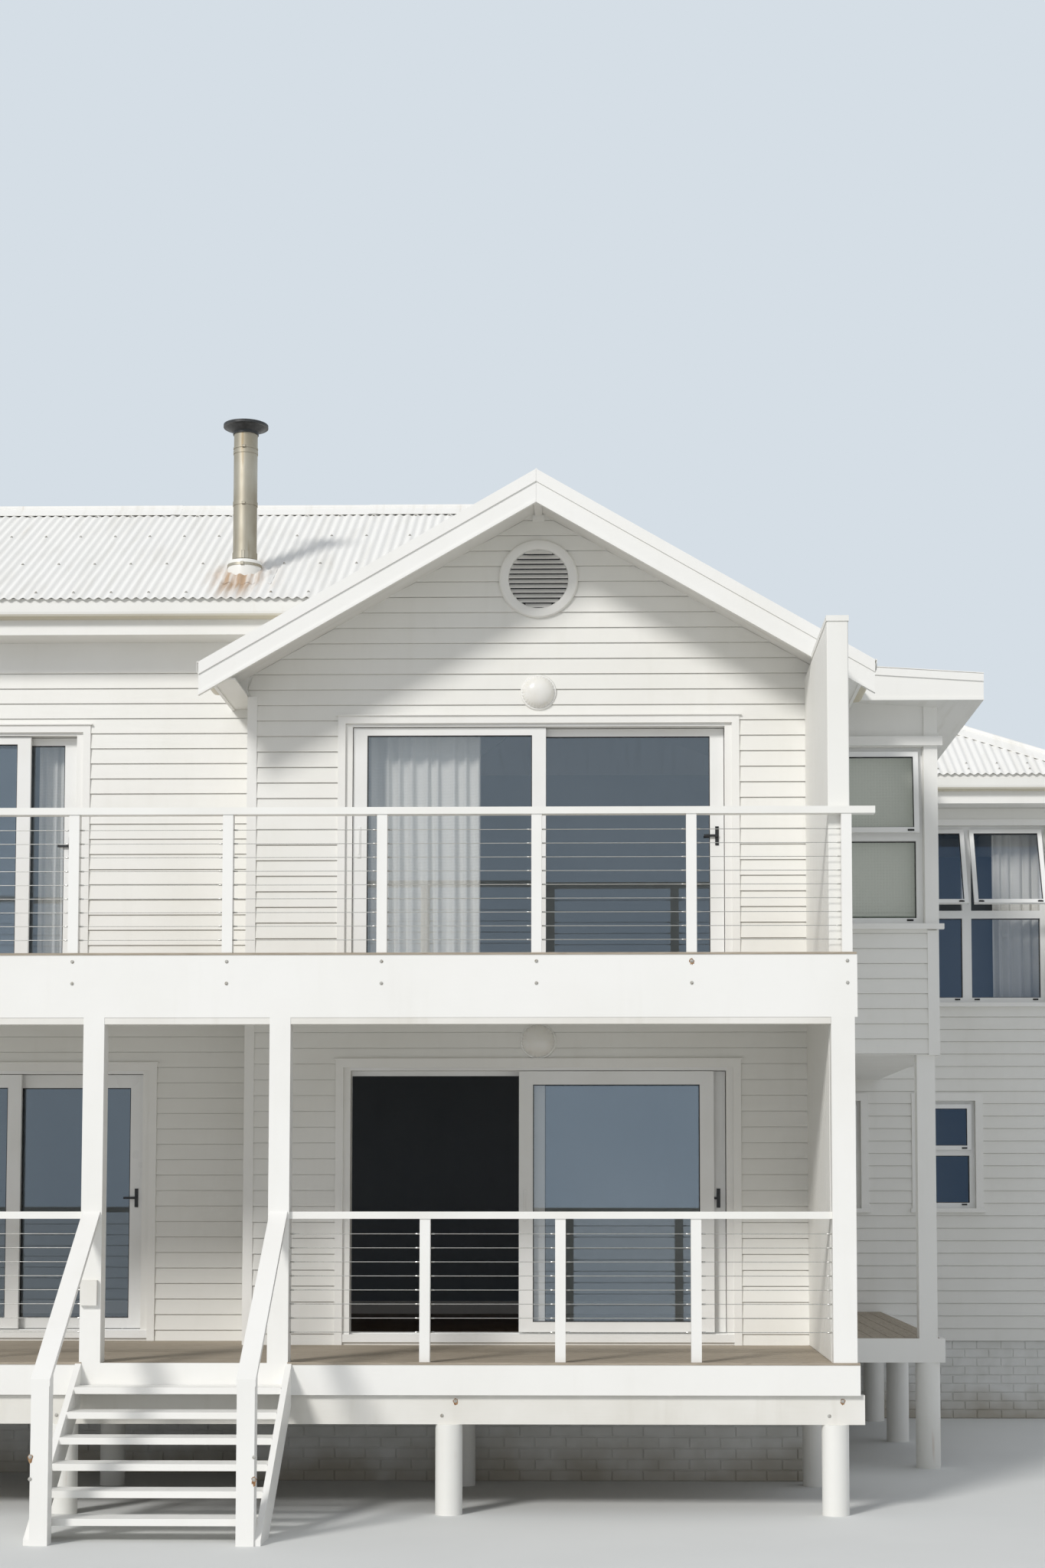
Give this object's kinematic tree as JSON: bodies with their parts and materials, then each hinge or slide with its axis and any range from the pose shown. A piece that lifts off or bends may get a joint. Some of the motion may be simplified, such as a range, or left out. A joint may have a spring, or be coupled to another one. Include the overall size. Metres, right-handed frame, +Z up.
{
  "type": "two-storey timber beach house",
  "caption": "White weatherboard beach house with a gabled centre, porch, cable-railed balcony, sliding doors, side bay, hipped wing and corrugated roofs.",
  "frame": {"origin": "middle of the footprint of the whole house, on the ground", "axes": "+X along the front to the right, +Y from the front into the house, +Z up"},
  "size_m": [12.49, 13.6926, 8.636],
  "materials": {
    "pier_paint": "satin white paint on round posts",
    "painted_brick": "matt white masonry paint on brick",
    "rough_timber_paint": "white paint on rough-sawn timber, with rust runs at the bolts",
    "deck_timber": "weathered grey-brown boards",
    "trim_paint": "white satin paint on planed boards",
    "floor_timber": "oiled floor boards",
    "post_paint": "white satin paint on squared timber",
    "cable_steel": "stainless wire rope",
    "weatherboard_paint": "white paint on lapped boards",
    "roof_paint": "white paint on corrugated sheet, with some rust",
    "gutter_paint": "white enamel",
    "vent_paint": "white enamel",
    "lamp_glass": "opal glass dome",
    "flue_steel": "stainless steel tinted by heat",
    "cowl_paint": "black paint",
    "frame_paint": "white powder coat on aluminium",
    "lever_black": "black coating",
    "window_glass": "clear float glass",
    "curtain_cloth": "pale woven cloth",
    "rail_paint": "white enamel"
  },
  "bodies": {
    "house": {"piers": "pier_paint", "plinth_walls": "painted_brick", "plinth_returns": "painted_brick", "bearers": "rough_timber_paint", "joists": "rough_timber_paint", "deck_boards": "deck_timber", "fascias": "trim_paint", "end_fascias": "trim_paint", "soffits": "trim_paint", "floors": "floor_timber", "porch_posts": "post_paint", "rail_posts": "post_paint", "handrails": "post_paint", "cables": "cable_steel", "stair_stringers": "post_paint", "stair_treads": "post_paint", "stair_newels": "post_paint", "stair_rails": "post_paint", "screen_walls": "weatherboard_paint", "front_walls": "weatherboard_paint", "front_wall_bands": "weatherboard_paint", "front_wall_infill": "weatherboard_paint", "side_walls": "weatherboard_paint", "back_walls": "weatherboard_paint", "wing_front_wall": "weatherboard_paint", "bay_walls": "weatherboard_paint", "left_roof": "roof_paint", "gable_roof": "roof_paint", "wing_roof": "roof_paint", "bay_roof": "roof_paint", "ridge_caps": "roof_paint", "barge_boards": "trim_paint", "gutters": "gutter_paint", "gable_vent": "vent_paint", "wall_lights": "lamp_glass", "flue_pipe": "flue_steel", "flue_cowl": "cowl_paint", "corner_boards": "trim_paint", "casings": "trim_paint", "door_jambs": "frame_paint", "door_tracks": "frame_paint", "upper_door_leaves": "frame_paint", "upper_levers": "lever_black", "window_frames": "frame_paint", "window_sashes": "frame_paint", "window_glass": "window_glass", "curtains": "curtain_cloth", "curtain_rails": "rail_paint"},
    "centre_left_door": {"centre_left_leaf": "frame_paint", "centre_left_glass": "window_glass"},
    "centre_right_door": {"centre_right_leaf": "frame_paint", "centre_right_glass": "window_glass", "centre_lever": "lever_black"},
    "left_left_door": {"left_left_leaf": "frame_paint", "left_left_glass": "window_glass"},
    "left_right_door": {"left_right_leaf": "frame_paint", "left_right_glass": "window_glass", "left_lever": "lever_black"}
  },
  "joints": [
    {"name": "centre_left_slide", "type": "slide", "parent": "house", "child": "centre_left_door", "axis": [1, 0, 0], "range_m": [-1.319, 0]},
    {"name": "centre_right_slide", "type": "slide", "parent": "house", "child": "centre_right_door", "axis": [1, 0, 0], "range_m": [-1.319, 0]},
    {"name": "left_left_slide", "type": "slide", "parent": "house", "child": "left_left_door", "axis": [1, 0, 0], "range_m": [0, 0.885]},
    {"name": "left_right_slide", "type": "slide", "parent": "house", "child": "left_right_door", "axis": [1, 0, 0], "range_m": [-0.885, 0]}
  ]
}
